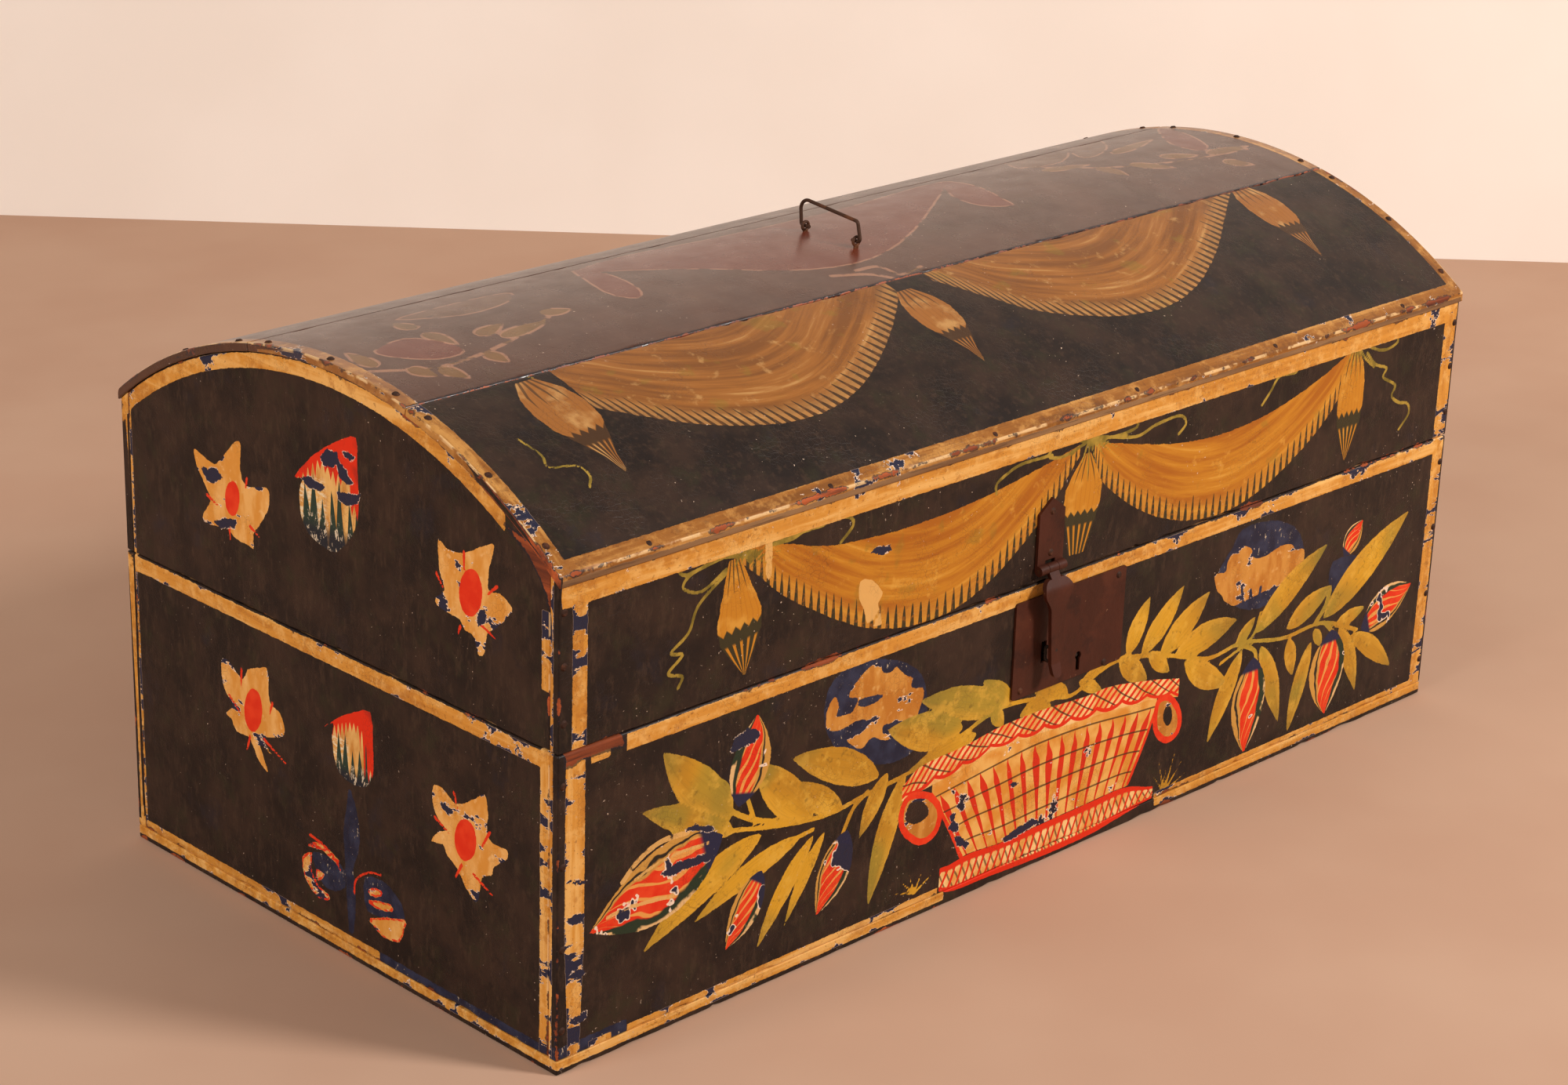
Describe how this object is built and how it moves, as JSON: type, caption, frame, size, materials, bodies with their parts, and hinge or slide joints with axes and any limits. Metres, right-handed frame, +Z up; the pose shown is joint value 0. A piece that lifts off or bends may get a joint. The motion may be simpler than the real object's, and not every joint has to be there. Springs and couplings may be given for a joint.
{
  "type": "wedding chest",
  "caption": "Small dome-lidded chest of thin nailed boards, painted with swags and a flower basket, with loop hinges, a wire bail, and a hasp locked by a sliding bolt.",
  "frame": {"origin": "on the floor, under the middle of the closed chest, in the bottom board's lower face", "axes": "+X along the chest to the right end seen from the front, the front faces -Y, +Z up"},
  "size_m": [0.5616, 0.2949, 0.2677],
  "materials": {
    "painted_board": "old varnished paint, worn",
    "bare_board": "bare aged wood",
    "nail_iron": "dark rusted iron",
    "painted_iron": "red-brown paint, rubbed",
    "wrought_iron": "dark worn iron"
  },
  "bodies": {
    "box": {"box_front_board": "painted_board", "box_back_board": "painted_board", "box_left_end": "painted_board", "box_right_end": "painted_board", "box_bottom_board": "bare_board", "box_corner_nails": "nail_iron", "box_bottom_nails": "nail_iron", "box_hinge_eye_left": "wrought_iron", "box_hinge_eye_right": "wrought_iron", "lock_plate": "painted_iron", "lock_plate_nails": "nail_iron", "lock_cover": "wrought_iron", "lock_cover_nails": "nail_iron", "lock_bolt_guide_left": "wrought_iron", "lock_bolt_guide_right": "wrought_iron", "lock_key_pin": "wrought_iron", "lock_spring": "wrought_iron"},
    "lid": {"lid_front_rail": "painted_board", "lid_back_rail": "painted_board", "lid_left_end": "painted_board", "lid_right_end": "painted_board", "lid_roof_front_board": "painted_board", "lid_roof_middle_board": "painted_board", "lid_roof_back_board": "painted_board", "lid_corner_nails": "nail_iron", "roof_end_nails": "nail_iron", "roof_rail_nails": "nail_iron", "lid_hinge_link_left": "wrought_iron", "lid_hinge_link_right": "wrought_iron", "handle_eye_front": "wrought_iron", "handle_eye_back": "wrought_iron", "hasp_strap": "painted_iron", "hasp_strap_nails": "nail_iron", "hasp_hinge_pin": "wrought_iron"},
    "hasp": {"hasp_arm": "painted_iron", "hasp_staple": "wrought_iron"},
    "bail": {"bail_handle": "wrought_iron"},
    "bolt": {"lock_bolt": "wrought_iron"}
  },
  "joints": [
    {"name": "lid_hinge", "type": "hinge", "parent": "box", "child": "lid", "pos_m": [0, 0.1414, 0.131], "axis": [-1, 0, 0], "range_deg": [0, 110]},
    {"name": "hasp_swing", "type": "hinge", "parent": "lid", "child": "hasp", "pos_m": [-0.0085, -0.1402, 0.1404], "axis": [-1, 0, 0], "range_deg": [-6.77, 135]},
    {"name": "bail_swing", "type": "hinge", "parent": "lid", "child": "bail", "pos_m": [-0.008, -0.004, 0.2552], "axis": [0, 1, 0], "range_deg": [-90, 90]},
    {"name": "bolt_slide", "type": "slide", "parent": "box", "child": "bolt", "axis": [-1, 0, 0], "range_m": [0, 0.0085]}
  ]
}
